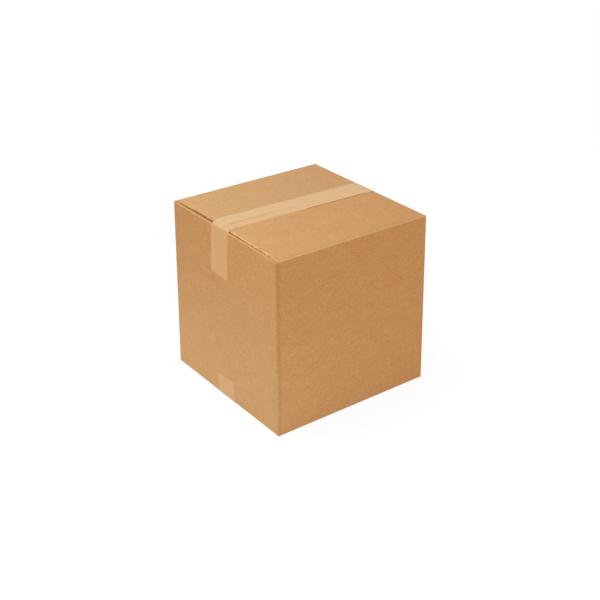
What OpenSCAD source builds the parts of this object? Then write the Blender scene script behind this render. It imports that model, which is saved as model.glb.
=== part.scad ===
// A closed shipping box: one blank of corrugated board, folded, glued at one corner and
// taped over its top and bottom seams. Sizes are in millimetres. Z is up, both seams run
// along X, and the box stands on the underside of the bottom tape at Z = 0.

/* [Box] */
// Outer length, along the seams
box_l = 311; // [180:1:500]
// Outer width, across the seams
box_w = 311; // [180:1:500]
// Outer height of the folded board, from the lower flaps to the upper flaps
box_h = 318; // [280:1:500]

/* [Board] */
// Thickness of the corrugated board
board_t = 3; // [2:0.1:4]
// Thickness of each paper sheet that faces the board
liner_t = 0.5; // [0.2:0.05:0.8]
// Length of one wave of the fluted paper inside the board
flute_pitch = 6.5; // [4:0.1:9]
// Radius on the inner side of every fold
crease_r = 0.4; // [0.2:0.1:0.8]

/* [Flaps] */
// Gap between the two outer flaps, under the tape
seam_gap = 2; // [1:0.5:10]
// Gap between the two inner flaps
inner_gap = 4; // [1:0.5:12]
// Air between the inner flaps and the outer flaps
layer_gap = 0.3; // [0.2:0.1:2]
// Distance from the end of the box to the side of an outer flap, at the fold
outer_side_fold = 4; // [3.5:0.5:8]
// The same distance at the seam
outer_side_seam = 8.5; // [3.5:0.5:14]
// Room between the side of an inner flap and the panel beside it, at the fold
inner_side_fold = 1.5; // [1:0.5:5]
// The same room at the flap's free edge
inner_side_free = 4; // [1:0.5:11]
// Air that a slot leaves between an inner flap's fold and the corner of the box
slot_gap = 0.5; // [0.2:0.1:0.8]

/* [Glued corner] */
// Width of the glue tab, from its fold
tab_w = 35; // [20:1:60]
// How far each end of the tab slopes back towards its free edge
tab_slope = 10; // [0:1:20]
// Distance from the corner to the cut edge of the panel that covers the tab
cover_gap = 0.8; // [0.2:0.1:2]

/* [Tape] */
// Width of the tape
tape_w = 50; // [36:1:75]
// Thickness of the tape
tape_t = 0.15; // [0.1:0.01:0.3]
// Spacing of the teeth that the cutter leaves
tooth_pitch = 2.5; // [1:0.5:5]
// Depth of those teeth
tooth_depth = 1; // [0.4:0.1:2]
// How much longer each tape end is on its front edge than on its back edge
cut_slant = 2.5; // [0:0.5:6]

/* [Top tape] */
// Centre of the tape behind the seam, at the left end of the top
top_y_left = 11; // [-20:0.5:20]
// The same at the right end
top_y_right = 7; // [-20:0.5:20]
// Length of tape on the left panel, from the top of the board
top_leg_left = 85; // [20:1:120]
// How far back the tape leans by its end there
top_lean_left = 2; // [-8:0.5:8]
// Length of tape on the right panel
top_leg_right = 78; // [20:1:120]
// How far back the tape leans by its end there
top_lean_right = -1; // [-8:0.5:8]

/* [Bottom tape] */
// Centre of the tape behind the seam, at the left end of the bottom
bottom_y_left = 2; // [-20:0.5:20]
// The same at the right end
bottom_y_right = 1; // [-20:0.5:20]
// Length of tape on the left panel, from the bottom of the board
bottom_leg_left = 39; // [20:1:120]
// How far back the tape leans by its end there
bottom_lean_left = 0.5; // [-8:0.5:8]
// Length of tape on the right panel
bottom_leg_right = 43; // [20:1:120]
// How far back the tape leans by its end there
bottom_lean_right = -1; // [-8:0.5:8]

/* [Hidden] */

$fn = 48;
half_l = box_l / 2;
half_w = box_w / 2;

// Outer radius of every fold, and the straight board that it keeps at its full width beyond
// each end of the bend
fold_r = crease_r + board_t;
fold_tail = board_t;

// Depth of the inner flaps' outer face below the outer flaps' outer face
inner_drop = board_t + layer_gap;

// The folded board stands on the bottom tape
mid_z = tape_t + box_h / 2;

// Heights above the middle of the box: where the folds start, and where the slots end
inner_fold_z = box_h / 2 - inner_drop - fold_r;
outer_fold_z = box_h / 2 - fold_r;
slot_z = box_h / 2 - inner_drop - board_t / 2;

// Reach of the flaps' sides from the middle of the box, at the fold and at the free edge
outer_root = half_l - outer_side_fold;
outer_free = half_l - outer_side_seam;
inner_root = half_w - board_t - inner_side_fold;
inner_free = half_w - board_t - inner_side_free;

// The glued corner's panel folds inside the other, so the flap beside it is narrower
glue_setback = board_t + fold_r - inner_side_fold;

outer_flap_len = (box_w - seam_gap) / 2;
inner_flap_len = (box_l - inner_gap) / 2;

// The tape leaves the outer flaps where their sides first drop away under it
tape_far = max(abs(top_y_left), abs(top_y_right), abs(bottom_y_left), abs(bottom_y_right));
side_share = (tape_far + tape_w / 2 - seam_gap / 2) / (outer_flap_len - fold_r - fold_tail);
side_change = outer_side_fold - outer_side_seam;
tape_leave = outer_side_seam + min(0, side_share * side_change);

// Straight run of the tape from the outer flap down to the inner flap's fold, and the
// angle round the fold where it touches
run_x = tape_leave - fold_r;
run_z = inner_drop + fold_r;
touch_angle = atan2(run_z, run_x) + acos(fold_r / norm([run_x, run_z]));
wrap_steps = 8;

// Straight tape beyond each end of that bend, before the tape starts to lean
bend_margin = 2;

carton_colour = "#c8945f";
tape_colour = "#dfb888";

// Section of a fold: a quarter ring of board in the first quadrant, and its straight tails
module fold_section() {
  intersection() {
    difference() {
      circle(r = fold_r);
      circle(r = crease_r);
    }
    square(fold_r);
  }
  translate([-fold_tail, crease_r])
    square([fold_tail, board_t]);
  translate([crease_r, -fold_tail])
    square([board_t, fold_tail]);
}

// Outline of the flute that a cut along the waves lays open. X is outwards from the cut
// edge, and the board's outer face is at Y = 0.
module open_flute() {
  polygon([
    [liner_t, -liner_t],
    [liner_t, liner_t - board_t],
    [-liner_t, liner_t - board_t],
    [-flute_pitch / 2, -liner_t]
  ]);
}

// Open flute along one side of a flap. It starts a board's thickness beyond the fold's tail,
// and the rest of it is crushed.
module side_flute(length, root, free) {
  turn = atan2(root - free, length - fold_r - fold_tail);
  translate([root, fold_r + fold_tail, 0])
    rotate([0, 0, turn])
      translate([0, board_t, 0])
        rotate([90, 0, 180])
          linear_extrude(height = length)
            mirror([1, 0])
              open_flute();
}

// Flap with its fold: outer face up at Z = 0, fold along X at Y = 0, free edge at length.
// Root and free give the reach of its left and right sides, at the fold and at the end.
module flap(length, root, free) {
  translate([-root[0], fold_r, -fold_r])
    rotate([90, 0, 90])
      linear_extrude(height = root[0] + root[1])
        mirror([1, 0])
          fold_section();
  difference() {
    translate([0, 0, -board_t])
      linear_extrude(height = board_t)
        polygon([
          [-root[0], fold_r],
          [root[1], fold_r],
          [root[1], fold_r + fold_tail],
          [free[1], length],
          [-free[0], length],
          [-root[0], fold_r + fold_tail]
        ]);
    side_flute(length, root[1], free[1]);
    mirror([1, 0, 0])
      side_flute(length, root[0], free[0]);
  }
}

// Two outer and two inner flaps, which close one end of the box
module flap_set() {
  for (turn = [0, 180])
    rotate([0, 0, turn])
      translate([0, -half_w, 0])
        flap(outer_flap_len, [outer_root, outer_root], [outer_free, outer_free]);
  translate([-half_l, 0, -inner_drop])
    rotate([0, 0, -90])
      flap(inner_flap_len, [inner_root, inner_root], [inner_free, inner_free]);
  translate([half_l, 0, -inner_drop])
    rotate([0, 0, 90])
      flap(
        inner_flap_len,
        [inner_root, inner_root - glue_setback],
        [inner_free, inner_free - glue_setback]
      );
}

// Plan of the fold at one corner, whose quadrant is given by its signs
module corner_section(x, y, sign_x, sign_y) {
  translate([x - sign_x * fold_r, y - sign_y * fold_r])
    scale([sign_x, sign_y])
      fold_section();
}

// Plan of the four panels. At the back right corner the right panel folds inside the back
// panel, whose cut edge shows an open flute.
module panel_plan() {
  translate([-half_l, fold_r - half_w])
    square([board_t, box_w - 2 * fold_r]);
  translate([fold_r - half_l, -half_w])
    square([box_l - 2 * fold_r, board_t]);
  translate([half_l - board_t, fold_r - half_w])
    square([board_t, box_w - board_t - 2 * fold_r]);
  difference() {
    translate([fold_r - half_l, half_w - board_t])
      square([box_l - fold_r - cover_gap, board_t]);
    translate([half_l - cover_gap, half_w])
      open_flute();
  }
  corner_section(-half_l, -half_w, -1, -1);
  corner_section(half_l, -half_w, 1, -1);
  corner_section(-half_l, half_w, -1, 1);
  corner_section(half_l, half_w - board_t, 1, 1);
}

// The corners alone, between the slots. They run on a little inside the long panels.
module corner_plan() {
  difference() {
    panel_plan();
    square([2 * (outer_root - fold_tail), 2 * box_w], center = true);
    square([2 * box_l, 2 * (inner_root + slot_gap)], center = true);
  }
}

// Front and back panels, up to the outer flaps' folds
module long_panels() {
  for (y = [-half_w, half_w - board_t])
    translate([-outer_root, y, -outer_fold_z])
      cube([2 * outer_root, board_t, 2 * outer_fold_z]);
}

// Tab of the right panel, glued to the inside of the back panel
module glue_tab() {
  root_x = half_l - fold_r;
  translate([0, half_w - board_t, 0])
    rotate([90, 0, 0])
      linear_extrude(height = board_t)
        polygon([
          [root_x, -slot_z],
          [root_x, slot_z],
          [root_x - fold_tail, slot_z],
          [root_x - tab_w, slot_z - tab_slope],
          [root_x - tab_w, tab_slope - slot_z],
          [root_x - fold_tail, -slot_z]
        ]);
}

module carton() {
  color(carton_colour)
    translate([0, 0, mid_z]) {
      linear_extrude(height = 2 * inner_fold_z, center = true)
        panel_plan();
      linear_extrude(height = 2 * slot_z, center = true)
        corner_plan();
      long_panels();
      glue_tab();
      for (side = [0, 1])
        mirror([0, 0, side])
          translate([0, 0, box_h / 2])
            flap_set();
    }
}

// Points round an inner flap's fold, from the straight run to the panel. Their lines touch
// the fold from outside.
function wrap_points(radius) = [
  for (i = [0.5:wrap_steps])
    let(angle = touch_angle + (180 - touch_angle) * i / wrap_steps)
      let(reach = radius / cos((180 - touch_angle) / wrap_steps / 2))
        [fold_r + reach * cos(angle), reach * sin(angle) - run_z]
];

// Section of the bent tape, from the outer flap to the panel, which is at X = 0
module bend_section() {
  outer = wrap_points(fold_r + tape_t);
  flat_end = tape_leave + bend_margin;
  foot = -run_z - bend_margin;
  polygon(concat(
    [[flat_end, 0], [tape_leave, 0]],
    wrap_points(fold_r),
    [[0, foot], [-tape_t, foot]],
    [for (i = [1:wrap_steps]) outer[wrap_steps - i]],
    [[tape_leave, 0] + tape_t * [cos(touch_angle), sin(touch_angle)]],
    [[tape_leave, tape_t], [flat_end, tape_t]]
  ));
}

// Part of the tape that lies on a panel: it hangs from Y = 0, leans, and ends in a line of
// cutter's teeth
module leg_outline(length, lean) {
  teeth = 2 * round(tape_w / tooth_pitch);
  share = [for (i = [0:teeth]) i / teeth];
  cut = [
    for (i = [0:teeth])
      [(share[i] - 0.5) * tape_w + lean, (i % 2) * tooth_depth + (share[i] - 0.5) * cut_slant]
  ];
  polygon(concat(
    [[-tape_w / 2, 0], [-tape_w / 2, -bend_margin]],
    [for (point = cut) point - [0, length]],
    [[tape_w / 2, -bend_margin], [tape_w / 2, 0]]
  ));
}

// Left end of a tape, from the side of the outer flap to the cut end. Z = 0 is the outer
// flaps' face, and the tape's centre is at Y = 0.
module tape_end(length, lean) {
  translate([-half_l, tape_w / 2, 0])
    rotate([90, 0, 0])
      linear_extrude(height = tape_w)
        bend_section();
  translate([-half_l - tape_t, 0, -run_z])
    rotate([90, 0, 90])
      linear_extrude(height = tape_t)
        leg_outline(length - run_z, lean);
}

// Whole strip, with Z = 0 at the outer flaps' face. Each end is a list: centre behind the
// seam, length on the panel, and lean.
module strip(left, right) {
  end_x = half_l - tape_leave;
  lean_x = end_x - bend_margin;
  linear_extrude(height = tape_t)
    polygon([
      [-end_x, left[0] - tape_w / 2],
      [-lean_x, left[0] - tape_w / 2],
      [lean_x, right[0] - tape_w / 2],
      [end_x, right[0] - tape_w / 2],
      [end_x, right[0] + tape_w / 2],
      [lean_x, right[0] + tape_w / 2],
      [-lean_x, left[0] + tape_w / 2],
      [-end_x, left[0] + tape_w / 2]
    ]);
  translate([0, left[0], 0])
    tape_end(left[1], left[2]);
  translate([0, right[0], 0])
    mirror([1, 0, 0])
      tape_end(right[1], right[2]);
}

module top_tape() {
  color(tape_colour)
    translate([0, 0, mid_z + box_h / 2])
      strip(
        [top_y_left, top_leg_left, top_lean_left],
        [top_y_right, top_leg_right, top_lean_right]
      );
}

module bottom_tape() {
  color(tape_colour)
    translate([0, 0, mid_z - box_h / 2])
      mirror([0, 0, 1])
        strip(
          [bottom_y_left, bottom_leg_left, bottom_lean_left],
          [bottom_y_right, bottom_leg_right, bottom_lean_right]
        );
}

carton();
top_tape();
bottom_tape();
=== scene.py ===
# A closed shipping carton: one folded blank of corrugated board, taped over both seams.
# Lengths are in millimetres until a mesh is made. Z is up and the seams run along X.
import math

import bmesh
import bpy
from mathutils import Matrix, Vector, noise


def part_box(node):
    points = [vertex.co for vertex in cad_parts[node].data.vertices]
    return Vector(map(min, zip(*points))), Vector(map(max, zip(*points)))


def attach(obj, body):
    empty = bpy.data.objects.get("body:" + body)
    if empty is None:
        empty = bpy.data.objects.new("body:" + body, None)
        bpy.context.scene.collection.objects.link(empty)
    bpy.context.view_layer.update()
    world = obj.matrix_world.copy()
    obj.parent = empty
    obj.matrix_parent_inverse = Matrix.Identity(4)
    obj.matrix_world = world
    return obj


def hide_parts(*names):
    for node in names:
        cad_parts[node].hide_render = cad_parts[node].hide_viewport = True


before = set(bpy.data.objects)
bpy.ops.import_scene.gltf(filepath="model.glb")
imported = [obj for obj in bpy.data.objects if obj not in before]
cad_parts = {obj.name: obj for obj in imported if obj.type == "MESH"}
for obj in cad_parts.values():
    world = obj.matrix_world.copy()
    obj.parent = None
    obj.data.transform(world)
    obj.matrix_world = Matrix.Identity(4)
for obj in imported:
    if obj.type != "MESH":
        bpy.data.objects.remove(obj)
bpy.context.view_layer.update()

mm = 0.001


def lerp(start, end, share):
    return start + (end - start) * share


def smooth(share):
    share = min(max(share, 0.0), 1.0)
    return share * share * (3 - 2 * share)


def steps(start, end, count):
    return [lerp(start, end, i / count) for i in range(count + 1)]


# The value at a place between knots, each a place with its value
def along(knots, place):
    for (start, first), (end, second) in zip(knots, knots[1:]):
        if place <= end:
            return lerp(first, second, smooth((place - start) / (end - start)))
    return knots[-1][1]


def wander(place, size, seed):
    return noise.noise(Vector((place / size, seed * 7.31, seed * 3.17)))  # about -0.7 to 0.7


# The standing box as a whole
low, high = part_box("carton")
box = {
    "foot": low.z / mm,
    "hingeSink": 1.15,       # the outer flaps' folds settle below the flat top
    "bow": 0.7,              # how far the middle of a panel stands out
}
halfLength = (high.x - low.x) / 2 / mm
halfWidth = (high.y - low.y) / 2 / mm
topZ = high.z / mm - box["hingeSink"]
midZ = (topZ + box["foot"]) / 2
halfHeight = (topZ - box["foot"]) / 2

# How far each corner stands out of square, as x, y and z
squareness = {
    "bottom": {
        "leftFront": (-1.5, -1.0, -0.05), "rightFront": (3.0, 0.0, 0.65),
        "leftBack": (-2.3, 0.9, 0.15), "rightBack": (0.0, 0.0, 0.25),
    },
    "top": {
        "leftFront": (-0.3, 0.4, 0.1), "rightFront": (-1.9, 1, -0.6),
        "leftBack": (3.5, -1, 0.9), "rightBack": (-0.5, -0.2, -0.6),
    },
}


# Where a point of the square box stands in the crooked one, in metres
def settled(x, y, z):
    shareX = (x + halfLength) / (2 * halfLength)
    shareY = (y + halfWidth) / (2 * halfWidth)
    shareZ = (z - box["foot"]) / (topZ - box["foot"])
    move = Vector((0, 0, 0))
    for level, weightZ in (("bottom", 1 - shareZ), ("top", shareZ)):
        for corner, offset in squareness[level].items():
            weightX = shareX if corner.startswith("right") else 1 - shareX
            weightY = shareY if corner.endswith("Back") else 1 - shareY
            move += Vector(offset) * (weightX * weightY * weightZ)
    return (Vector((x, y, z)) + move) * mm


# The board, its folds and its cut edges
board = {
    "thickness": 3.0,
    "liner": 0.45,           # paper sheet on each face
    "flutePitch": 6.5,
    "waveHeight": 0.022,     # how far the flutes show through the paper
    "samplesPerWave": 4,
    "waveStart": 4.0,        # they fade out this close to a fold
    "waveMargin": 20.0,      # and aren't followed this close to a panel's sides
    "foldRadius": 3.4,
    "foldSquareness": 0.42,  # under 1 makes a fold tighter than a round one
    "foldSteps": 8,
    "crushDepth": 0.14,      # the scored line beside a fold
    "crushPlace": 2.0,
    "crushWidth": 1.4,
    # painted shade: paper is darker and deeper in colour round the corners and beside the front panel's
    # folds
    "paintedShadeValue": 0.06,
    "paintedShadeTone": 0.25,
    "paintedShadeReach": (6.5, 12.0),    # how far from the front panel's left corner, and from its folds
    "paintedShadeOnFlaps": 0.5,
    "rubAndHighlightPower": 2.5,         # the higher, the narrower the rubbed crest of a fold and its painted highlight
    "seamGap": 2.0,
    "seamRise": {"top": (4.5, 0.9), "bottom": (0.0, 0.0)},    # at the left and right ends
    "frontRiseShape": 0.7,   # under 1, the flap rises soon after its fold
    "seamStep": ((-155, 1.3), (-30, 0.9), (30, 0.1), (155, 0.0)),    # back flap above the front one
    "seamBlend": (-1.5, 7.0),    # where the back flap starts to rise to that, and how far on
    # a flap's sides sink under the tape: the front and back one's at the left, both at the right
    "endDroop": {"top": (1.2, 1.9, 0.0), "bottom": (0.0, 0.0, 0.0)},
    "droopPlace": (19.0, 12.0),    # it starts this far from the end and is full this much further
    "droopBlend": 4.0,       # half the way from the front value to the back one, across the seam
    "droopStart": 0.25,      # it is full a quarter of the way from the fold to the seam
    "innerGap": 4.0,
    # the inner flaps' way under the outer ones: how far below at their folds and at the seam,
    # and how soon beyond the inner fold
    "underFront": (0.4, 1.1, 3.5),
    "underBack": (0.8, 2.6, 5.0),
    "underBlend": 25.0,      # half the way from one to the other, across the seam
    # flutes of an inner flap that stand out where its fold crushes them, at the back and front
    "ridge": (0.35, 1.0),
    "ridgeBlend": 30.0,
    "ridgeStart": 3.0,
    "ridgePlace": 5.0,
    "ridgeWidth": 6.0,
    "ridgeStray": (0.5, 11.0),    # how uneven they are, and over what distance
    # how far the left fold stands up at places along Y, and the right one all along
    "leftCrest": (
        (-155, 0.3), (-138, 1.0), (-114, 1.4), (-81, 1.3),
        (-30, 0.7), (33, 0.7), (100, -0.2), (155, -0.9),
    ),
    "rightCrest": -0.3,
    "bottomCrest": -0.5,
    "crestReach": 40.0,      # the wall carries the crest's height from this far below the fold
    # from the box's end to an outer flap's side: places beyond the fold and the distance there
    "backSetback": ((0, 3.8), (20, 6.6), (60, 8.0), (110, 7.4), (160, 7.2)),
    "frontSetback": ((0, 2.2), (9, 7.9), (22, 9.4), (50, 9.0), (80, 8.0), (160, 7.6)),
    "rightSetback": 0.6,     # share of that at the right end
    "innerSetback": (3.8, 7.0),
    "tornRim": (1.7, 0.6),   # pale fibres and a painted highlight on the near flap's edge, at the fold and at the seam
    "tornSize": 2.5,
    # share of its thickness that an outer flap keeps beside the fold, at its sides, and how far
    # on it has all of it again
    "cornerCrush": {"back": (0.8, 18.0), "front": (0.8, 15.0)},
    "liningInset": 14.0,     # how far in from the sides that goes
    "coverGap": 0.8,         # from the back panel's cut edge to the glued corner
    "tabWidth": 35.0,
    "cornerStand": 3.2,      # the corners go on this far beyond the start of the folds
    "cornerRim": 0.5,        # and are this much narrower at their end
    # how far the cut paper strays, and the length of that on the outer and the inner paper
    "jag": {"back": 0.9, "front": 1.6, "left": 0.9, "right": 0.9, "tab": 0.9},
    "jagSize": (4.2, 5.0),
    # how far the flutes stand back from the cut, how uneven that is, and over what distance
    "pocket": {"back": 0.3, "front": 0.2, "left": 1.2, "right": 1.2, "tab": 1.0},
    "pocketStray": (0.8, 9.0),
    # how much further out the inner paper ends than the outer one
    "bevel": {"back": 0.0, "front": 1.3, "left": 0.0, "right": 0.0, "tab": 0.0},
    "glueLine": 0.05,        # between the tab and the back panel
    "tearStart": 3.0,        # a flap's edge is whole at the fold and fully torn this far on
    "outerRows": (2.2, 6.0),    # spacing of the mesh's rows on the top and bottom flaps
    "innerRows": (12.0, 12.0),
}
thickness = board["thickness"]
radius = board["foldRadius"]
arcLength = radius * math.pi / 2
straight = halfHeight - radius  # where the folds start, from the middle of the height
outerFlap = halfWidth - board["seamGap"] / 2 - radius
innerFlap = halfLength - board["innerGap"] / 2 - radius


# A panel runs along one direction and faces out in another. reach is half its length.
def makePanel(name, direction, out, reach, offset, outer, blankStart, shorter=0.0, raw=False):
    return {
        "name": name, "along": direction, "out": out, "reach": reach, "offset": offset, "outer": outer,
        "wallEnds": (board["coverGap"] - reach if raw else radius - reach, reach - shorter - radius),
        "flapEnds": (-reach, reach - shorter),
        "raw": raw, "blankStart": blankStart,
    }


# The blank goes round from the back panel's cut edge to the glue tab
panels = [
    makePanel("back", (-1, 0), (0, 1), halfLength, halfWidth, True, 0, raw=True),
    makePanel("left", (0, -1), (-1, 0), halfWidth, halfLength, False, 1),
    makePanel("front", (1, 0), (0, -1), halfLength, halfWidth, True, 2),
    makePanel("right", (0, 1), (1, 0), halfWidth, halfLength, False, 3, shorter=thickness),
]
glueTab = {
    "name": "tab", "along": (-1, 0), "out": (0, 1),
    "reach": halfLength, "offset": halfWidth - thickness - board["glueLine"], "outer": True,
    "wallEnds": (radius - halfLength, radius + board["tabWidth"] - halfLength),
    "raw": False, "blankStart": 4, "tab": True,
}


# v runs up the sheet: over the bottom flap, the wall (0 at the middle of its height) and the top flap
def foldState(v):
    turn = min(max((abs(v) - straight) / arcLength, 0.0), 1.0)   # 0 on the wall, 1 on the flap
    past = max(abs(v) - straight - arcLength, 0.0)               # distance beyond the fold
    return turn, past


def levelOf(v):
    return "top" if v > 0 else "bottom"


def seamRise(level, x, y):
    share = (x + halfLength) / (2 * halfLength)
    start, reach = board["seamBlend"]
    step = along(board["seamStep"], x) * smooth((y - start) / reach) if level == "top" else 0
    return lerp(*board["seamRise"][level], share) + step


# How far an outer flap stands off its flat place
def outerLift(level, x, y):
    share = (halfWidth - radius - abs(y)) / outerFlap
    if level == "top" and y < 0:
        share = max(share, 0.0) ** board["frontRiseShape"]
    start, reach = board["droopPlace"]
    sides = smooth((abs(x) - halfLength + start) / reach)
    front, back, right = board["endDroop"][level]
    blend = board["droopBlend"]
    left = lerp(front, back, smooth((y + blend) / (2 * blend)))
    droop = (right if x > 0 else left) * sides * smooth(share / board["droopStart"])
    return seamRise(level, x, y) * share - droop


# How far the fold of an inner flap stands off its even height
def crestLift(level, side, y):
    if level == "bottom":
        return board["bottomCrest"]
    if side > 0:
        return board["rightCrest"]
    return along(board["leftCrest"], y)


def liftAt(panel, a, v):
    turn, past = foldState(v)
    level = levelOf(v)
    if panel["outer"]:
        if past == 0:
            return 0.0
        x = a * panel["along"][0]
        return outerLift(level, x, panel["out"][1] * (halfWidth - radius - past))
    y = a * panel["along"][1]
    crestReach = board["crestReach"]
    crest = crestLift(level, panel["out"][0], y) * smooth((abs(v) - straight + crestReach) / crestReach)
    share = (halfWidth - radius - abs(y)) / outerFlap
    toFront = smooth((board["underBlend"] - y) / (2 * board["underBlend"]))
    atFold, atSeam, reach = (
        lerp(back, front, toFront) for back, front in zip(board["underBack"], board["underFront"])
    )
    x = panel["out"][0] * (halfLength - radius - past)
    under = lerp(outerLift(level, x, max(y, 1)), outerLift(level, x, min(y, -1)), toFront)
    under -= thickness + lerp(atFold, atSeam, share)
    return lerp(crest, under, smooth(past / reach))


# A point of the board: a goes along the panel, v up the sheet, depth into the board and push out
# of it
def spot(panel, a, v, depth=0.0, push=0.0):
    turn, past = foldState(v)
    cosTurn, sinTurn = math.cos(turn * math.pi / 2), math.sin(turn * math.pi / 2)
    tight = board["foldSquareness"]
    share = depth / thickness
    outward = lerp(radius * abs(cosTurn) ** tight, (radius - thickness) * cosTurn, share)
    upward = lerp(radius * sinTurn ** tight, (radius - thickness) * sinTurn, share)
    outward += panel["offset"] - radius - past + cosTurn * push
    upward += min(abs(v), straight) + sinTurn * push + liftAt(panel, a, v)
    x = panel["along"][0] * a + panel["out"][0] * outward
    y = panel["along"][1] * a + panel["out"][1] * outward
    return x, y, midZ + math.copysign(upward, v)


def foldDistance(panel, a, v):
    turn, past = foldState(v)
    if past > 0:
        return past
    if turn > 0:
        return 0.0
    ends = [math.inf if panel["raw"] else a - panel["wallEnds"][0], panel["wallEnds"][1] - a]
    return max(min(straight - abs(v), *ends), 0.0)


# How far the outer paper stands out: the panel's bow and the flutes, less the crushed line
def pushAt(panel, a, v):
    turn, past = foldState(v)
    distance = foldDistance(panel, a, v)
    flute = math.cos(2 * math.pi * a / board["flutePitch"])
    wave = board["waveHeight"] * flute
    crush = board["crushDepth"] * math.exp(-((distance - board["crushPlace"]) / board["crushWidth"]) ** 2)
    bow = 0.0
    if not panel["outer"] and past > 0:
        blend = board["ridgeBlend"]
        stray, size = board["ridgeStray"]
        ridge = lerp(*board["ridge"], smooth((blend - a * panel["along"][1]) / (2 * blend)))
        ridge *= 1 + stray * wander(a, size, 71)
        fade = math.exp(-((past - board["ridgePlace"]) / board["ridgeWidth"]) ** 2)
        wave += ridge * flute * smooth(past / board["ridgeStart"]) * fade
    if past == 0 and turn == 0:
        bow = box["bow"] * (1 - (a / panel["reach"]) ** 2) * (1 - (v / straight) ** 2)
    return bow + wave * smooth(distance / board["waveStart"]) - (crush if turn == 0 or past > 0 else 0)


# Where a panel or its flap ends at one side
def edgeAt(panel, side, v):
    turn, past = foldState(v)
    wall = panel["wallEnds"][side]
    if turn == 0:
        return wall
    if panel["outer"]:
        knots = "frontSetback" if panel["name"] == "front" else "backSetback"
        setback = along(board[knots], past)
        if (-1, 1)[side] * panel["along"][0] > 0:
            setback *= board["rightSetback"]
    else:
        setback = lerp(*board["innerSetback"], past / innerFlap)
    return lerp(wall, panel["flapEnds"][side] - (-1, 1)[side] * setback, turn)


# How pale the paper is painted and how much painted shade it has: painted light that makes the
# top flaps paler than the walls, the flaps paler towards the left end and the left wall paler low
# down. Walls have four values, seen from outside: bottom left, bottom right, top left, top right.
# Flaps have their left and right ends. cutPaintedLight sets a cut edge between the dark and the
# pale colour: painted shade on the back flap's edge, a painted highlight on the front flap's.
paper = {
    "back": {"wallTone": (0.5, 0.5, 0.35, 0.35), "wallShade": (0, 0, 0, 0),
             "flapTone": (1.05, 0.86), "flapShade": (0.005, 0.085), "cutPaintedLight": 0.1},
    "left": {"wallTone": (0.92, 0.95, 0.22, 0.48), "wallShade": (0, 0, 0.085, 0),
             "flapTone": (0.1, 0.1), "flapShade": (0, 0), "cutPaintedLight": 0.4},
    "front": {"wallTone": (0.6, 0.2, 0.2, 0.1), "wallShade": (-0.02, 0.02, 0.02, 0.04),
              "flapTone": (0.75, 0.47), "flapShade": (-0.05, 0.026), "cutPaintedLight": 0.95},
    "right": {"wallTone": (0.35, 0.35, 0.2, 0.2), "wallShade": (0, 0, 0, 0),
              "flapTone": (0.5, 0.5), "flapShade": (0, 0), "cutPaintedLight": 0.4},
    "tab": {"wallTone": (0.4, 0.4, 0.4, 0.4), "wallShade": (0, 0, 0, 0),
            "flapTone": (0.4, 0.4), "flapShade": (0, 0), "cutPaintedLight": 0.4},
}


def paperValue(panel, a, v, kind):
    turn, past = foldState(v)
    lowLeft, lowRight, highLeft, highRight = paper[panel["name"]]["wall" + kind]
    across = a / (2 * panel["reach"]) + 0.5
    up = smooth((v / straight + 1) / 2)
    onWall = lerp(lerp(lowLeft, lowRight, across), lerp(highLeft, highRight, across), up)
    x = a * panel["along"][0] if panel["outer"] else 0
    onFlap = lerp(*paper[panel["name"]]["flap" + kind], (x + halfLength) / (2 * halfLength))
    return lerp(onWall, onFlap, turn)


# blank holds a point's place on the flat blank, toneShadeHighlight how pale the paper is painted
# there, how much painted shade it has, and how rubbed and highlighted (a painted highlight) the
# crest of a fold is, with the near flap's pale torn fibres
sheet = {"points": [], "blank": [], "toneShadeHighlight": [], "faces": [], "cut": []}


def addPoint(place, panel, a, v, paintedShade=0.0):
    rubAndHighlight = math.sin(math.pi * foldState(v)[0]) ** board["rubAndHighlightPower"]
    sheet["points"].append(settled(*place))
    sheet["blank"].append(Vector((panel["blankStart"] * 2 * halfLength + a, v, 0)) * mm)
    tone = paperValue(panel, a, v, "Tone") - board["paintedShadeTone"] * paintedShade
    shade = paperValue(panel, a, v, "Shade") + board["paintedShadeValue"] * paintedShade
    sheet["toneShadeHighlight"].append(Vector((tone, shade, rubAndHighlight)))
    return len(sheet["points"]) - 1


def addFace(corners, cut=False):
    sheet["faces"].append(corners)
    sheet["cut"].append(cut)


def addStrip(first, second, cut=False):
    for i in range(len(first) - 1):
        addFace([first[i], first[i + 1], second[i + 1], second[i]], cut)


# Cut edge from the outer paper to the inner one, at one side of a panel or flap
def cutEdge(panel, side, v, outerPoint, innerPoint, seed, depthShare):
    turn, past = foldState(v)
    sign = (-1, 1)[side]
    edge = edgeAt(panel, side, v)
    torn = smooth(past / board["tearStart"]) if not panel["raw"] or side == 1 or turn > 0 else 1.0
    uneven, size = board["pocketStray"]
    pocket = board["pocket"][panel["name"]] * (1 + uneven * wander(v, size, seed + 4)) * torn
    stray = board["jag"][panel["name"]] * wander(v, board["jagSize"][1], seed + 6) * torn
    bevel = board["bevel"][panel["name"]] * torn
    profile = [
        (stray * 0.5 + bevel * 0.15, board["liner"]),
        (bevel * 0.3 - pocket, board["liner"] * 1.8),
        (bevel * 0.8 - pocket * 0.8, thickness - board["liner"] * 1.8),
        (stray + bevel, thickness - board["liner"]),
    ]
    points = [outerPoint]
    for inset, depth in profile:
        a = edge + sign * inset
        points.append(addPoint(spot(panel, a, v, depth * depthShare), panel, a, v + depth))
        # a cut edge's painted light: pale on the front flap's lit edge, dark as painted shade on the back
        # flap's
        sheet["toneShadeHighlight"][-1].x = paper[panel["name"]]["cutPaintedLight"]
    return points + [innerPoint]


def flapRows(length, spacing):
    near = [0.8, 1.6, 2.6, 4, 6, 9]
    count = math.ceil((length - near[-1]) / spacing)
    return near + steps(near[-1], length, count)[1:]


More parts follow.
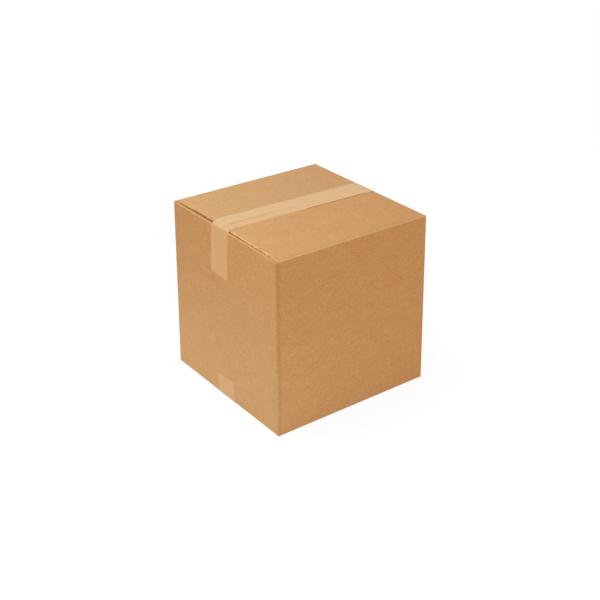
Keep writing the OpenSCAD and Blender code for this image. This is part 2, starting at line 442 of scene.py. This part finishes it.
# Rows of the mesh on a wall, as values of v: close together beside the folds, even between them
nearFold = [0, 0.8, 1.6, 2.6, 4, 6, 9, 14, 22, 34]
evenReach = straight - 48
wallRows = [-(straight - d) for d in nearFold]
wallRows += steps(-evenReach, evenReach, 14)
wallRows += [straight - d for d in reversed(nearFold)]
foldRows = [straight + arcLength * share for share in steps(0, 1, board["foldSteps"])[1:]]


# painted shade beside the front panel's left corner and along its folds
def frontPaintedShade(panel, a, past):
    fromCorner, fromFold = board["paintedShadeReach"]
    if past > 0:
        return board["paintedShadeOnFlaps"] * smooth(1 - past / fromFold)
    return smooth(1 - (a - panel["wallEnds"][0]) / fromCorner)


# A panel with its two flaps: the outer paper, the inner one and the cut edges between them
def buildColumn(panel, seed):
    name = panel["name"]
    isTab = "tab" in panel
    isRaw = (panel["raw"], isTab)    # whether each side is cut all the way up
    bothSides = ((0, 0), (1, -1))    # each side with its place in a row
    rows = wallRows
    if not isTab:
        length = outerFlap if panel["outer"] else innerFlap
        topSpacing, bottomSpacing = board["outerRows" if panel["outer"] else "innerRows"]
        beyond = straight + arcLength
        rows = [-(beyond + s) for s in reversed(flapRows(length, bottomSpacing))]
        rows += [-v for v in reversed(foldRows)] + wallRows + foldRows
        rows += [beyond + s for s in flapRows(length, topSpacing)]
    first = rows.index(wallRows[0])
    last = first + len(wallRows) - 1
    waves = math.floor((panel["reach"] - board["waveMargin"]) / board["flutePitch"])
    reach = waves * board["flutePitch"]
    middle = steps(-reach, reach, 2 * waves * board["samplesPerWave"])
    fromEdge = (0, 0.1, 0.3, 0.55, 0.8)
    if isTab:
        middle = [lerp(*panel["wallEnds"], 0.5)]
        fromEdge = (0,)
    grid, lining, cuts = [], [], ([], [])
    for j, v in enumerate(rows):
        turn, past = foldState(v)
        edges = [edgeAt(panel, side, v) for side in (0, 1)]
        places = [lerp(edges[0], middle[0], share) for share in fromEdge] + middle
        places += [lerp(edges[1], middle[-1], share) for share in reversed(fromEdge)]
        for side, end in bothSides:
            if past > board["tearStart"] or (panel["raw"] and side == 0):
                stray = wander(v, board["jagSize"][0], seed + side)
                places[end] += (-1, 1)[side] * board["jag"][name] * stray
        row = []
        for a in places:
            paintedShade = frontPaintedShade(panel, a, past) if name == "front" else 0.0
            row.append(addPoint(spot(panel, a, v, 0, pushAt(panel, a, v)), panel, a, v, paintedShade))
            # pale torn fibres and a painted highlight along the near flap's edge, carried with the rubbed
            # crest
            if name == "front" and past > 0 and a == places[0]:
                fibres = lerp(*board["tornRim"], past / outerFlap) * smooth(past / board["tearStart"])
                sheet["toneShadeHighlight"][-1].z += fibres * (0.75 + wander(v, board["tornSize"], 91))
        grid.append(row)
        depthShare = 1
        if name in board["cornerCrush"]:
            crushed, crushReach = board["cornerCrush"][name]
            depthShare = lerp(1, crushed, turn)
            if past > 0:
                depthShare = lerp(crushed, 1, smooth(past / crushReach))
        inset = board["liningInset"]
        inner = [(edges[0], depthShare), (edges[1], depthShare)]
        if not isTab:
            inner[1:1] = [(edges[0] + inset, 1), (edges[1] - inset, 1)]
        lining.append([addPoint(spot(panel, a, v, thickness * s), panel, a, v) for a, s in inner])
        for side, end in bothSides:
            points = None
            if isRaw[side] or j <= first or j >= last:
                ends = row[end], lining[-1][end]
                points = cutEdge(panel, side, v, *ends, seed + 20 * side, depthShare)
            cuts[side].append(points)
    for j in range(len(rows) - 1):
        addStrip(grid[j], grid[j + 1])
        addStrip(lining[j], lining[j + 1])
        for side in (0, 1):
            if isRaw[side] or j + 1 <= first or j >= last:
                addStrip(cuts[side][j], cuts[side][j + 1], cut=True)
    for j in (0, -1):
        addFace(cuts[0][j][::-1] + grid[j][1:-1] + cuts[1][j] + lining[j][1:-1][::-1], cut=True)
    return {"grid": grid, "lining": lining, "cuts": cuts, "first": first, "last": last, "panel": panel}


# The rounded corner between two panels. It ends a little beyond the start of the folds, at the slots.
def buildCorner(before, after):
    panel = before["panel"]
    direction, out = Vector(panel["along"]), Vector(panel["out"])
    centre = out * (panel["offset"] - radius) + direction * panel["wallEnds"][1]
    turns = steps(0, math.pi / 2, board["foldSteps"])[1:-1]
    tight = board["foldSquareness"]

    def ring(v, lifts, shrink=0.0):
        rings = []
        for size, power in ((radius - shrink, tight), (radius - thickness, 1)):
            points = []
            for i, turn in enumerate(turns):
                plan = centre + out * size * math.cos(turn) ** power
                plan += direction * size * math.sin(turn) ** power
                z = midZ + v + math.copysign(lerp(*lifts, (i + 1) / (len(turns) + 1)), v)
                a = panel["wallEnds"][1] + radius * turn
                # the upright corners carry full painted shade
                points.append(addPoint((plan.x, plan.y, z), panel, a, v, 1.0))
            rings.append(points)
        return rings

    outers, inners = [], []
    for j, v in enumerate(wallRows):
        lifts = [
            liftAt(column["panel"], edgeAt(column["panel"], side, v), v)
            for column, side in ((before, 1), (after, 0))
        ]
        outer, inner = ring(v, lifts)
        rows = before["first"] + j, after["first"] + j
        outers.append([before["grid"][rows[0]][-1]] + outer + [after["grid"][rows[1]][0]])
        inners.append([before["lining"][rows[0]][-1]] + inner + [after["lining"][rows[1]][0]])
    for j in range(len(wallRows) - 1):
        addStrip(outers[j], outers[j + 1])
        addStrip(inners[j], inners[j + 1])
    for j, end in ((0, "first"), (-1, "last")):
        sides = [before["cuts"][1][before[end]], after["cuts"][0][after[end]]]
        outer, inner = outers[j], inners[j]
        for share in (0.45, 0.8, 1.0):
            v = wallRows[j] + math.copysign(board["cornerStand"] * share, wallRows[j])
            shrink = board["cornerRim"] if share == 1 else 0.0
            nextOuter, nextInner = ring(v, (0, 0), shrink)
            ends = []
            for size in (radius - shrink, radius - thickness):
                for way in (out, direction):
                    plan = centre + way * size
                    # the corners' ends carry full painted shade too
                    ends.append(addPoint((plan.x, plan.y, midZ + v), panel, panel["wallEnds"][1], v, 1.0))
            nextOuter = [ends[0]] + nextOuter + [ends[1]]
            nextInner = [ends[2]] + nextInner + [ends[3]]
            addStrip(outer, nextOuter)
            addStrip(inner, nextInner)
            for side, k in ((0, 0), (1, -1)):
                addFace(sides[side] + [nextInner[k], nextOuter[k]], cut=True)
            sides = [[nextOuter[0], nextInner[0]], [nextOuter[-1], nextInner[-1]]]
            outer, inner = nextOuter, nextInner
        addFace(outer + inner[::-1], cut=True)


columns = [buildColumn(panel, 3 + 50 * i) for i, panel in enumerate(panels + [glueTab])]
for before, after in zip(columns, columns[1:]):
    buildCorner(before, after)


def addObject(name, data):
    piece = bpy.data.objects.new(name, data)
    bpy.context.scene.collection.objects.link(piece)
    return piece


def meshFrom(name, points, faces, cut):
    mesh = bpy.data.meshes.new(name)
    mesh.from_pydata(points, [], faces)
    mesh.polygons.foreach_set("material_index", [int(c) for c in cut])
    shape = bmesh.new()
    shape.from_mesh(mesh)
    bmesh.ops.recalc_face_normals(shape, faces=shape.faces[:])
    for face in shape.faces:
        face.smooth = face.material_index == 0
    for edge in shape.edges:
        if len({face.material_index for face in edge.link_faces}) > 1:
            edge.smooth = False
    shape.to_mesh(mesh)
    shape.free()
    return addObject(name, mesh)


def addAttribute(piece, name, values):
    layer = piece.data.attributes.new(name, "FLOAT_VECTOR", "POINT")
    layer.data.foreach_set("vector", [c for vector in values for c in vector])


cartonBoard = meshFrom("cartonBoard", sheet["points"], sheet["faces"], sheet["cut"])
addAttribute(cartonBoard, "blank", sheet["blank"])
addAttribute(cartonBoard, "toneShadeHighlight", sheet["toneShadeHighlight"])
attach(cartonBoard, "root")
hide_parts("carton")
print("board:", len(sheet["points"]), "points,", len(sheet["faces"]), "faces")


# The two strips of tape
tape = {
    "width": 50.0,
    "thickness": 0.11,
    "clearance": 0.03,
    "acrossSteps": 40,
    "topSteps": 110,
    "bendSteps": 5,
    "legSteps": 26,
    "toothDepth": 1.0,
    "legCurve": 0.6,         # under 1, a slanting end goes sideways most just below the fold
    # the film's way over an end: how far in it still lies flat and where it leaves the flaps (at
    # the left and right), then its places over the fold with their height above the crest
    "flatPlace": 15.0,
    "loosePlace": 11.0,
    "dropPlace": (7.2, 4.6),
    "dropHeight": 0.16,
    "foldKnots": ((2.8, 0.4), (0.3, -0.3)),
    "wallDrop": 3.6,
    "sideSteps": (0.2, 0.4, 0.75, 0.9),    # how much of its sideways step is made at each of these
    # painted light: how pale the film is where it lies flat, at the left end and how much less at the
    # right one, and how far inside the end that stops and over what distance
    "lidPaintedLight": (0.95, 0.38),
    "lidFade": (0.5, 3.0),
    "edgeHighlight": 0.3,         # painted highlight: its edges are painted paler
    "rimPaintedShade": 0.9,          # painted shade: the top strip's front edge is deeper in colour, where it shades the board
    "rimLift": 0.55,         # that edge has come up along part of the seam
    "rimFade": 20.0,         # the deeper colour fades out towards the ends over this length
    "rimSpan": (0.0, 138.0),
    "rimBlend": (18.0, 14.0),
    "rimWidth": 7.0,
    "seamWidth": 4.5,        # the film bridges the seam this wide
    "unevenness": (0.10, 14.0),    # height and size of the waves in the top strip
    "wrinkle": 0.8,          # a low fold in the film behind the seam, strongest at the left end
    "wrinklePlace": 5.5,
    "wrinkleStray": (0.8, 40.0),
    "wrinkleWidth": 3.0,
    "wrinkleSpan": (-150.0, -30.0),
    "wrinkleBlend": (8.0, 60.0),
    "wrinkleFootShade": (0.3, 0.07),    # painted shade: how much deeper in colour and darker the film is at its foot
    "bendShade": 0.05,       # the film is this much darker where it bends down
    "bendPlace": (12.0, 6.0),    # from this far inside the end, full over this length
    "bendFade": (1.0, 2.0),    # to this far outside it, gone over this length
}
# The centre lines are places along Y: on the top or bottom at the left and right ends, then down
# the left and the right wall
strips = {
    "topTape": {
        "level": "top", "node": "top_tape",
        "centre": (11.0, 6.5), "legCentre": ((5.5, 10.4), (5.5, 4.5)),
        "legLength": (86.0, 80.0), "cutSlant": 1.8, "legTone": 0.0,
    },
    "bottomTape": {
        "level": "bottom", "node": "bottom_tape",
        "centre": (-1.5, 1.0), "legCentre": ((-1.5, -0.4), (1.0, 0.0)),
        "legLength": (39.4, 43.0), "cutSlant": 3.8, "legTone": 0.35,
    },
}


# A smooth line through the knots
def smoothPath(knots, count):
    path = []
    for i in range(len(knots) - 1):
        start, end = knots[i], knots[i + 1]
        before = knots[max(i - 1, 0)]
        after = knots[min(i + 2, len(knots) - 1)]
        for k in range(count):
            t = k / count
            straightPart = 2 * start + (end - before) * t
            squarePart = (2 * before - 5 * start + 4 * end - after) * t ** 2
            cubePart = (3 * start - before - 3 * end + after) * t ** 3
            path.append(0.5 * (straightPart + squarePart + cubePart))
    return path + [knots[-1]]


def boardTop(level, x, y):
    # height of the outer flaps' face above the middle of the box, with the seam bridged
    halfBridge = tape["seamWidth"] / 2
    share = smooth((y + halfBridge) / (2 * halfBridge))
    return halfHeight + lerp(outerLift(level, x, min(y, -1)), outerLift(level, x, max(y, 1)), share)


# 1 within a span and 0 outside it, with a blend at each end
def spanShare(x, span, blend):
    return smooth((x - span[0]) / blend[0]) * smooth((span[1] - x) / blend[1])


# A line along the strip from its left cut end to its right one, for one place across the tape
# (-1 to 1). Each point holds x, y and the height from the middle of the box.
def tapeLine(strip, across):
    level = strip["level"]
    half = tape["width"] / 2
    away = tape["clearance"]
    face = halfLength + away
    flatEnd = halfLength - tape["flatPlace"]
    ends = []
    for side, sign in ((0, -1), (1, 1)):
        nearCentre, farCentre = strip["legCentre"][side]
        legLength = strip["legLength"][side]
        bendY = nearCentre + half * across
        crest = halfHeight + crestLift(level, sign, bendY)
        topY = strip["centre"][side] + half * across
        onFlaps = ((tape["loosePlace"], away), (tape["dropPlace"][side], tape["dropHeight"]))
        places = [(inset, boardTop(level, sign * (halfLength - inset), topY) + up) for inset, up in onFlaps]
        places += [(inset, crest + up) for inset, up in tape["foldKnots"]]
        knots = [Vector((flatEnd, topY, boardTop(level, sign * flatEnd, topY) + away))]
        for (inset, height), share in zip(places, tape["sideSteps"]):
            knots.append(Vector((halfLength - inset, lerp(topY, bendY, share), height)))
        knots.append(Vector((face, bendY, crest - tape["wallDrop"])))
        bend = smoothPath(knots, tape["bendSteps"])
        lowest = halfHeight - legLength
        leg = []
        for share in steps(0, 1, tape["legSteps"])[1:]:
            height = lerp(knots[-1].z, lowest, share)
            shift = ((halfHeight - height) / legLength) ** tape["legCurve"]
            centre = lerp(nearCentre, farCentre, shift)
            if share == 1:
                teeth = tape["toothDepth"] * (round((across + 1) / 2 * tape["acrossSteps"]) % 2)
                height += teeth + strip["cutSlant"] * across / 2
            wallBow = box["bow"] * (1 - (height / straight) ** 2)
            leg.append(Vector((face + wallBow, centre + half * across, height)))
        ends.append([Vector((sign * p.x, p.y, p.z)) for p in bend + leg])
    top = []
    for x in steps(-flatEnd, flatEnd, tape["topSteps"])[1:-1]:
        y = lerp(*strip["centre"], (x + halfLength) / (2 * halfLength)) + half * across
        height = boardTop(level, x, y) + away
        if level == "top":
            stray, size = tape["wrinkleStray"]
            fromCrest = (y - tape["wrinklePlace"] - stray * wander(x, size, 67)) / tape["wrinkleWidth"]
            onWrinkle = spanShare(x, tape["wrinkleSpan"], tape["wrinkleBlend"])
            height += tape["wrinkle"] * onWrinkle * math.exp(-fromCrest ** 2)
            fromRim = (across + 1) * half
            alongRim = spanShare(x, tape["rimSpan"], tape["rimBlend"])
            height += tape["rimLift"] * alongRim * smooth(1 - fromRim / tape["rimWidth"])
            depth, size = tape["unevenness"]
            waves = depth * wander(x + 0.3 * y, size, 61)
            height += waves * smooth((across + 1) * 2) * smooth((1 - across) * 2)
        top.append(Vector((x, y, height)))
    return ends[0][::-1] + top + ends[1]


# flat holds the place along and across the film and how pale it is painted, which carries painted
# light and shade, bend how much painted shade it has
def buildTape(name, strip):
    lines = [tapeLine(strip, across) for across in steps(-1, 1, tape["acrossSteps"])]
    count = len(lines[0])
    sign = 1 if strip["level"] == "top" else -1
    leftTone, fall = tape["lidPaintedLight"]
    inset, fade = tape["lidFade"]
    start, reach = tape["bendPlace"]
    outside, bendFade = tape["bendFade"]
    points, flat, bend, faces = [], [], [], []
    for i, line in enumerate(lines):
        run = 0.0
        for j, p in enumerate(line):
            run += (p - line[j - 1]).length if j else 0.0
            points.append(settled(p.x, p.y, midZ + sign * p.z))
            onLid = smooth((halfLength - inset - abs(p.x)) / fade)
            tone = onLid * (leftTone - fall * (p.x / halfLength + 1) / 2)
            inBend = smooth((abs(p.x) - halfLength + start) / reach)
            inBend *= smooth((halfLength + outside - abs(p.x)) / bendFade)
            shade = tape["bendShade"] * inBend
            if sign > 0:
                fromFoot = p.y - tape["wrinklePlace"] + tape["wrinkleWidth"]
                onWrinkle = spanShare(p.x, tape["wrinkleSpan"], tape["wrinkleBlend"])
                foot = math.exp(-(fromFoot / 2) ** 2) * onWrinkle
                tone -= tape["wrinkleFootShade"][0] * foot
                shade += tape["wrinkleFootShade"][1] * foot
            if i == 0 and sign > 0:
                tone -= tape["rimPaintedShade"] * smooth((halfLength - abs(p.x)) / tape["rimFade"])
            elif i in (0, tape["acrossSteps"]) or j in (0, count - 1):
                tone += tape["edgeHighlight"]
            fromEdge = i * tape["width"] / tape["acrossSteps"]
            flat.append(Vector((run * mm, fromEdge * mm, max(tone, strip["legTone"]))))
            bend.append(Vector((shade, 0, 0)))
    for i in range(len(lines) - 1):
        for j in range(count - 1):
            near, far = i * count + j, (i + 1) * count + j
            corners = [near, far, far + 1, near + 1]
            faces.append(corners if sign < 0 else corners[::-1])
    mesh = bpy.data.meshes.new(name)
    mesh.from_pydata(points, [], faces)
    mesh.shade_smooth()
    piece = addObject(name, mesh)
    addAttribute(piece, "flat", flat)
    addAttribute(piece, "bend", bend)
    film = piece.modifiers.new("film", "SOLIDIFY")
    film.thickness = tape["thickness"] * mm
    film.offset = 1
    piece.modifiers.new("flatRim", "WEIGHTED_NORMAL")
    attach(piece, "root")
    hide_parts(strip["node"])
    return piece


tapePieces = {name: buildTape(name, strip) for name, strip in strips.items()}
print("tape:", ", ".join(tapePieces))


# Materials
def linear(hexColour, strength=1.0):
    values = [int(hexColour[i:i + 2], 16) / 255 for i in (1, 3, 5)]
    return [strength * (v / 12.92 if v <= 0.04045 else ((v + 0.055) / 1.055) ** 2.4) for v in values] + [1]


def addNode(tree, kind, settings=None, links=None):
    node = tree.nodes.new(kind)
    for name, value in (settings or {}).items():
        if isinstance(name, int) or name in node.inputs:
            node.inputs[name].default_value = value
        else:
            setattr(node, name, value)
    for name, source in (links or {}).items():
        tree.links.new(source, node.inputs[name])
    return node


def newMaterial(name):
    material = bpy.data.materials.new(name)
    material.use_nodes = True
    material.node_tree.nodes.clear()
    return material, material.node_tree


def addOutput(tree, shader):
    addNode(tree, "ShaderNodeOutputMaterial", None, {"Surface": shader.outputs["BSDF"]})


def addMath(tree, operation, first, second):
    settings, links = {"operation": operation}, {}
    for i, value in enumerate((first, second)):
        if isinstance(value, (int, float)):
            settings[i] = value
        else:
            links[i] = value
    return addNode(tree, "ShaderNodeMath", settings, links).outputs[0]


def addMix(tree, share, first, second):
    settings, links = {"data_type": "RGBA"}, {0: share}
    for socket, value in ((6, first), (7, second)):
        if isinstance(value, list):
            settings[socket] = value
        else:
            links[socket] = value
    return addNode(tree, "ShaderNodeMix", settings, links).outputs[2]


def addNoise(tree, vector, size, detail=2.0, stretch=None):
    if stretch:
        mapping = addNode(tree, "ShaderNodeMapping", {"Scale": stretch}, {"Vector": vector})
        vector = mapping.outputs["Vector"]
    settings = {"Scale": 1 / (size * mm), "Detail": detail, "Roughness": 0.5}
    return addNode(tree, "ShaderNodeTexNoise", settings, {"Vector": vector}).outputs["Fac"]


def addChange(tree, base, noiseValue, amount):
    # the noise lies round 0.5, the change round 0
    change = addMath(tree, "MULTIPLY", addMath(tree, "SUBTRACT", noiseValue, 0.5), amount)
    return addMath(tree, "ADD", base, change)


def readAttribute(tree, name):
    return addNode(tree, "ShaderNodeAttribute", {"attribute_name": name}).outputs["Vector"]


def addSplit(tree, vector):
    return addNode(tree, "ShaderNodeSeparateXYZ", None, {"Vector": vector}).outputs


def addTones(tree, tone, deep, pale):
    # a tone over 1 or under 0 goes on beyond the two colours
    settings = {"data_type": "RGBA", "clamp_factor": False, 6: linear(deep), 7: linear(pale)}
    return addNode(tree, "ShaderNodeMix", settings, {0: tone}).outputs[2]


def addBrightness(tree, colour, value):
    links = {0: colour, "Scale": value}
    return addNode(tree, "ShaderNodeVectorMath", {"operation": "SCALE"}, links).outputs[0]


# Kraft liner: matt brown paper, mottled by its fibres, with painted shade round the corners and
# beside the front panel's folds, a painted highlight on the crests of the folds, and painted tones
# that stand for the light on each face
kraft = {
    "pale": "#d2a36d",
    "deep": "#c98c4f",
    "rubbedAndLit": "#dfb482",
    "rubAndHighlightShare": 0.65,
    "roughness": 0.88,
    "refraction": 1.45,
    "drift": (38.0, 0.35, 0.0),    # size of a pattern, its change of tone and of brightness
    "clouds": (24.0, 0.2, 0.08),
    "mottle": (8.0, 0.5, 0.1),
    "grain": (2.4, 1.8, 0.16),
    "bumpSize": 1.6,
    "bumpHeight": 0.06,
}


def makeKraft():
    material, tree = newMaterial("kraftLiner")
    place = readAttribute(tree, "blank")
    toneShadeHighlight = addSplit(tree, readAttribute(tree, "toneShadeHighlight"))
    tone, value = toneShadeHighlight["X"], addMath(tree, "SUBTRACT", 1.0, toneShadeHighlight["Y"])
    for pattern in ("drift", "clouds", "mottle", "grain"):
        size, toneChange, valueChange = kraft[pattern]
        noiseValue = addNoise(tree, place, size)
        tone = addChange(tree, tone, noiseValue, toneChange)
        if valueChange:
            value = addChange(tree, value, noiseValue, valueChange)
    colour = addTones(tree, tone, kraft["deep"], kraft["pale"])
    # rubbed crests get a paler colour, which is partly a painted highlight
    rubAndHighlight = addMath(tree, "MULTIPLY", toneShadeHighlight["Z"], kraft["rubAndHighlightShare"])
    colour = addMix(tree, rubAndHighlight, colour, linear(kraft["rubbedAndLit"]))
    colour = addBrightness(tree, colour, value)
    height = addNoise(tree, place, kraft["bumpSize"], 3.0)
    settings = {"Strength": 0.5, "Distance": kraft["bumpHeight"] * mm}
    bump = addNode(tree, "ShaderNodeBump", settings, {"Height": height}).outputs["Normal"]
    settings = {"Roughness": kraft["roughness"], "IOR": kraft["refraction"]}
    links = {"Base Color": colour, "Normal": bump}
    addOutput(tree, addNode(tree, "ShaderNodeBsdfPrincipled", settings, links))
    return material


# Cut board: the pale torn paper of the two liners and the fluted sheet between them. The pale
# colour is also a painted highlight on the front flap's lit edge, the dark one painted shade on
# the back flap's edge.
cutPaper = {
    "torn": "#f3cd96",
    "crushed": "#b57b40",
    "roughness": 0.95,
    "fibres": (4.5, 2.4),    # size of the torn places and their strength
}


def makeCut():
    material, tree = newMaterial("cutBoard")
    toneShadeHighlight = addSplit(tree, readAttribute(tree, "toneShadeHighlight"))
    size, strength = cutPaper["fibres"]
    share = addChange(tree, toneShadeHighlight["X"], addNoise(tree, readAttribute(tree, "blank"), size), strength)
    colour = addMix(tree, share, linear(cutPaper["crushed"]), linear(cutPaper["torn"]))
    settings = {"Roughness": cutPaper["roughness"]}
    addOutput(tree, addNode(tree, "ShaderNodeBsdfPrincipled", settings, {"Base Color": colour}))
    return material


# Packing tape: thin satin film, buff, warmer where it lies on the end panels: partly the board
# showing through, partly painted shade on the upright legs
filmFinish = {
    "top": "#ddb47e",
    "leg": "#d7a15f",
    "roughness": 0.42,
    "refraction": 1.48,
    "streaks": (5.0, 0.35, 0.12),    # size of a pattern, its change of tone and of brightness
    "grain": (2.6, 0.3, 0.1),
    "streakStretch": 0.12,   # under 1 makes them longer along the strip than across
}


def makeFilm():
    material, tree = newMaterial("packingTape")
    place = readAttribute(tree, "flat")
    bend = addSplit(tree, readAttribute(tree, "bend"))["X"]
    tone, value = addSplit(tree, place)["Z"], addMath(tree, "SUBTRACT", 1.0, bend)
    for pattern, alongStrip in (("streaks", filmFinish["streakStretch"]), ("grain", 1)):
        size, toneChange, valueChange = filmFinish[pattern]
        noiseValue = addNoise(tree, place, size, stretch=(alongStrip, 1, 0))
        tone = addChange(tree, tone, noiseValue, toneChange)
        value = addChange(tree, value, noiseValue, valueChange)
    colour = addTones(tree, tone, filmFinish["leg"], filmFinish["top"])
    colour = addBrightness(tree, colour, value)
    settings = {"Roughness": filmFinish["roughness"], "IOR": filmFinish["refraction"]}
    addOutput(tree, addNode(tree, "ShaderNodeBsdfPrincipled", settings, {"Base Color": colour}))
    return material


cartonBoard.data.materials.append(makeKraft())
cartonBoard.data.materials.append(makeCut())
film = makeFilm()
for piece in tapePieces.values():
    piece.data.materials.append(film)
print("materials:", len(bpy.data.materials))


# Floor, light and camera
studio = {
    "floorReach": 12.0,
    "floorHeight": -0.0002,    # a little under the box, so that no surface is shared
    "floorColour": "#f0f0f0",
    "floorGlow": 0.86,       # its own light, where it is seen
    "floorShade": 0.2,       # how strongly the shadow shows on it
    "ambient": 0.62,         # even light on the box, from a backdrop that is seen as white
    "keyPower": 8.5,         # a large soft lamp above, a little behind and to the left
    "keyAim": (0.0, 0.0, 0.2),
    "keyDirection": (-0.33, 0.25, 0.90),
    "keyDistance": 1.7,
    "keySize": 1.0,
    "fillStrength": 0.95,    # wide soft light from the front left
    "fillDirection": (-0.60, -0.75, 0.28),
    "fillAngle": 60,
}


def addSeen(tree):
    # 1 for what the camera sees, straight or in a shine, and 0 for light on its way to the box
    light = addNode(tree, "ShaderNodeLightPath").outputs
    seen = addMath(tree, "MAXIMUM", light["Is Camera Ray"], light["Is Glossy Ray"])
    return addMath(tree, "MAXIMUM", seen, light["Is Transmission Ray"])


def mixShaders(tree, share, first, second):
    links = {0: share, 1: first.outputs[0], 2: second.outputs[0]}
    return addNode(tree, "ShaderNodeMixShader", None, links).outputs[0]


# The floor is seen as almost white with a soft shadow, but lights the box as a plain pale one does
reach = studio["floorReach"]
corners = [(-reach, -reach, 0), (reach, -reach, 0), (reach, reach, 0), (-reach, reach, 0)]
floorMesh = bpy.data.meshes.new("floor")
floorMesh.from_pydata(corners, [], [(0, 1, 2, 3)])
floor = addObject("floor", floorMesh)
floor.location.z = studio["floorHeight"]
material, tree = newMaterial("studioFloor")
full = addNode(tree, "ShaderNodeBsdfDiffuse", {"Color": linear(studio["floorColour"])})
faint = addNode(tree, "ShaderNodeBsdfDiffuse", {"Color": linear("#ffffff", studio["floorShade"])})
glow = addNode(tree, "ShaderNodeEmission", {"Color": linear("#ffffff"), "Strength": studio["floorGlow"]})
shown = addNode(tree, "ShaderNodeAddShader", None, {0: faint.outputs[0], 1: glow.outputs[0]})
mixed = mixShaders(tree, addSeen(tree), full, shown)
addNode(tree, "ShaderNodeOutputMaterial", None, {"Surface": mixed})
floorMesh.materials.append(material)

world = bpy.data.worlds.new("studio")
bpy.context.scene.world = world
world.use_nodes = True
tree = world.node_tree
tree.nodes.clear()
ambient = addNode(tree, "ShaderNodeBackground", {"Color": linear("#ffffff"), "Strength": studio["ambient"]})
backdrop = addNode(tree, "ShaderNodeBackground", {"Color": linear("#ffffff"), "Strength": 1.0})
mixed = mixShaders(tree, addSeen(tree), ambient, backdrop)
addNode(tree, "ShaderNodeOutputWorld", None, {"Surface": mixed})

lamp = bpy.data.lights.new("softbox", "AREA")
lamp.shape = "DISK"
lamp.size = studio["keySize"]
lamp.energy = studio["keyPower"]
softbox = addObject("softbox", lamp)
direction = Vector(studio["keyDirection"]).normalized()
softbox.location = Vector(studio["keyAim"]) + direction * studio["keyDistance"]
softbox.rotation_mode = "QUATERNION"
softbox.rotation_quaternion = direction.to_track_quat("Z", "Y")

lamp = bpy.data.lights.new("fill", "SUN")
lamp.energy = studio["fillStrength"]
lamp.angle = math.radians(studio["fillAngle"])
fill = addObject("fill", lamp)
fill.rotation_mode = "QUATERNION"
fill.rotation_quaternion = Vector(studio["fillDirection"]).to_track_quat("Z", "Y")

camera = {
    "position": (-1.0311, -1.4171, 1.0490),
    "azimuth": -36.131,
    "elevation": 27.380,
    "roll": -0.436,
    "lens": 66.93,
    "sensor": 36.0,
}
azimuth, elevation, roll = (math.radians(camera[key]) for key in ("azimuth", "elevation", "roll"))
backward = Vector((
    math.sin(azimuth) * math.cos(elevation),
    -math.cos(azimuth) * math.cos(elevation),
    math.sin(elevation),
))
rightward = Vector((0, 0, 1)).cross(backward).normalized()
upward = backward.cross(rightward)
tiltedRight = rightward * math.cos(roll) + upward * math.sin(roll)
tiltedUp = upward * math.cos(roll) - rightward * math.sin(roll)
data = bpy.data.cameras.new("camera")
data.lens = camera["lens"]
data.sensor_width = camera["sensor"]
viewer = addObject("camera", data)
turned = Matrix((tiltedRight, tiltedUp, backward)).transposed().to_4x4()
viewer.matrix_world = Matrix.Translation(camera["position"]) @ turned
bpy.context.scene.camera = viewer
bpy.context.scene.view_settings.view_transform = "Standard"
print("floor, light and camera: ready")
